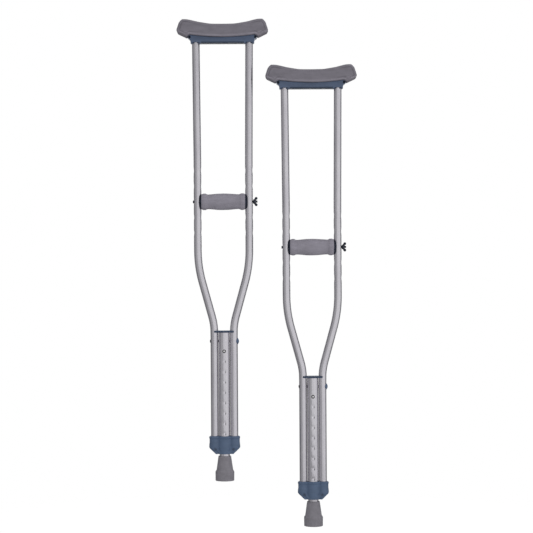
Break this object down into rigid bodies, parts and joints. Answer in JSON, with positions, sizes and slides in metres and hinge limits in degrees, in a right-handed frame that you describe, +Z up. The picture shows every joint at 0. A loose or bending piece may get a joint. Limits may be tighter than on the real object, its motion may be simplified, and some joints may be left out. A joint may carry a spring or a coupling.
{
  "type": "underarm crutches",
  "caption": "Pair of aluminium underarm crutches with foam saddle pads, foam handgrips on adjustable bolts, push-button telescoping legs and rubber tips.",
  "frame": {"origin": "on the floor under the middle of the pair, at the sole of the lower crutch's tip", "axes": "+Z up along the legs, +X to the right seen from the front, the fronts with their height holes face -Y"},
  "size_m": [0.4416, 0.047, 1.2432],
  "materials": {
    "pad_foam": "matte",
    "grip_foam": "matte",
    "tip_rubber": "matte",
    "tube_aluminium": "satin",
    "blue_plastic": "satin",
    "dark_plastic": "satin",
    "dark_steel": "satin",
    "painted_steel": "satin",
    "bright_steel": "satin",
    "nylon": "satin"
  },
  "bodies": {
    "frames": {"crutch_a_underarm_pad": "pad_foam", "crutch_a_underarm_bracket": "blue_plastic", "crutch_a_left_bow": "tube_aluminium", "crutch_a_right_bow": "tube_aluminium", "crutch_a_centre_tube": "tube_aluminium", "crutch_a_top_spacer": "dark_plastic", "crutch_a_cross_bolt": "dark_steel", "crutch_a_cross_bolt_cap": "blue_plastic", "crutch_a_collar": "blue_plastic", "crutch_a_collar_screw_left": "painted_steel", "crutch_a_collar_screw_right": "painted_steel", "crutch_a_leg_guide_ring": "nylon", "crutch_b_underarm_pad": "pad_foam", "crutch_b_underarm_bracket": "blue_plastic", "crutch_b_left_bow": "tube_aluminium", "crutch_b_right_bow": "tube_aluminium", "crutch_b_centre_tube": "tube_aluminium", "crutch_b_top_spacer": "dark_plastic", "crutch_b_cross_bolt": "dark_steel", "crutch_b_cross_bolt_cap": "blue_plastic", "crutch_b_collar": "blue_plastic", "crutch_b_collar_screw_left": "painted_steel", "crutch_b_collar_screw_right": "painted_steel", "crutch_b_leg_guide_ring": "nylon"},
    "crutch_a_leg": {"crutch_a_leg_tube": "tube_aluminium", "crutch_a_leg_top_plug": "nylon", "crutch_a_button_spring": "bright_steel", "crutch_a_tip": "tip_rubber", "crutch_a_tip_washer": "bright_steel"},
    "crutch_a_button": {"crutch_a_snap_button": "bright_steel"},
    "crutch_a_grip": {"crutch_a_grip_core": "dark_plastic", "crutch_a_grip_sleeve": "grip_foam", "crutch_a_grip_bolt": "dark_steel"},
    "crutch_a_washer": {"crutch_a_nut_washer": "dark_steel"},
    "crutch_a_nut": {"crutch_a_wing_nut": "dark_steel"},
    "crutch_b_leg": {"crutch_b_leg_tube": "tube_aluminium", "crutch_b_leg_top_plug": "nylon", "crutch_b_button_spring": "bright_steel", "crutch_b_tip": "tip_rubber", "crutch_b_tip_washer": "bright_steel"},
    "crutch_b_button": {"crutch_b_snap_button": "bright_steel"},
    "crutch_b_grip": {"crutch_b_grip_core": "dark_plastic", "crutch_b_grip_sleeve": "grip_foam", "crutch_b_grip_bolt": "dark_steel"},
    "crutch_b_washer": {"crutch_b_nut_washer": "dark_steel"},
    "crutch_b_nut": {"crutch_b_wing_nut": "dark_steel"}
  },
  "joints": [
    {"name": "crutch_a_leg_extension", "type": "slide", "parent": "frames", "child": "crutch_a_leg", "axis": [0, 0, -1], "range_m": [0, 0.2032], "deforming": ["crutch_a_snap_button"]},
    {"name": "crutch_a_button_press", "type": "slide", "parent": "crutch_a_leg", "child": "crutch_a_button", "axis": [0, 1, 0], "range_m": [0, 0.0035], "stiffness_N_per_m": 1500, "deforming": ["crutch_a_button_spring"]},
    {"name": "crutch_a_grip_height", "type": "slide", "parent": "frames", "child": "crutch_a_grip", "axis": [0, 0, 1], "range_m": [-0.0762, 0.0762], "deforming": ["crutch_a_grip_bolt"]},
    {"name": "crutch_a_nut_travel", "type": "slide", "parent": "crutch_a_grip", "child": "crutch_a_washer", "axis": [1, 0, 0], "range_m": [0, 0.00889]},
    {"name": "crutch_a_wing_nut_turn", "type": "hinge", "parent": "crutch_a_washer", "child": "crutch_a_nut", "pos_m": [-0.0299, 0, 0.7965], "axis": [1, 0, 0], "range_deg": [0, 2520]},
    {"name": "crutch_b_leg_extension", "type": "slide", "parent": "frames", "child": "crutch_b_leg", "axis": [0, 0, -1], "range_m": [0, 0.2032], "deforming": ["crutch_b_snap_button"]},
    {"name": "crutch_b_button_press", "type": "slide", "parent": "crutch_b_leg", "child": "crutch_b_button", "axis": [0, 1, 0], "range_m": [0, 0.0035], "stiffness_N_per_m": 1500, "deforming": ["crutch_b_button_spring"]},
    {"name": "crutch_b_grip_height", "type": "slide", "parent": "frames", "child": "crutch_b_grip", "axis": [0, 0, 1], "range_m": [-0.0762, 0.0762], "deforming": ["crutch_b_grip_bolt"]},
    {"name": "crutch_b_nut_travel", "type": "slide", "parent": "crutch_b_grip", "child": "crutch_b_washer", "axis": [1, 0, 0], "range_m": [0, 0.00889]},
    {"name": "crutch_b_wing_nut_turn", "type": "hinge", "parent": "crutch_b_washer", "child": "crutch_b_nut", "pos_m": [0.1869, 0, 0.684], "axis": [1, 0, 0], "range_deg": [0, 2520]}
  ],
  "couplings": [
    {"joint": "crutch_a_wing_nut_turn", "follows": "crutch_a_nut_travel", "rad_per_m": 4947.4},
    {"joint": "crutch_b_wing_nut_turn", "follows": "crutch_b_nut_travel", "rad_per_m": 4947.4}
  ]
}
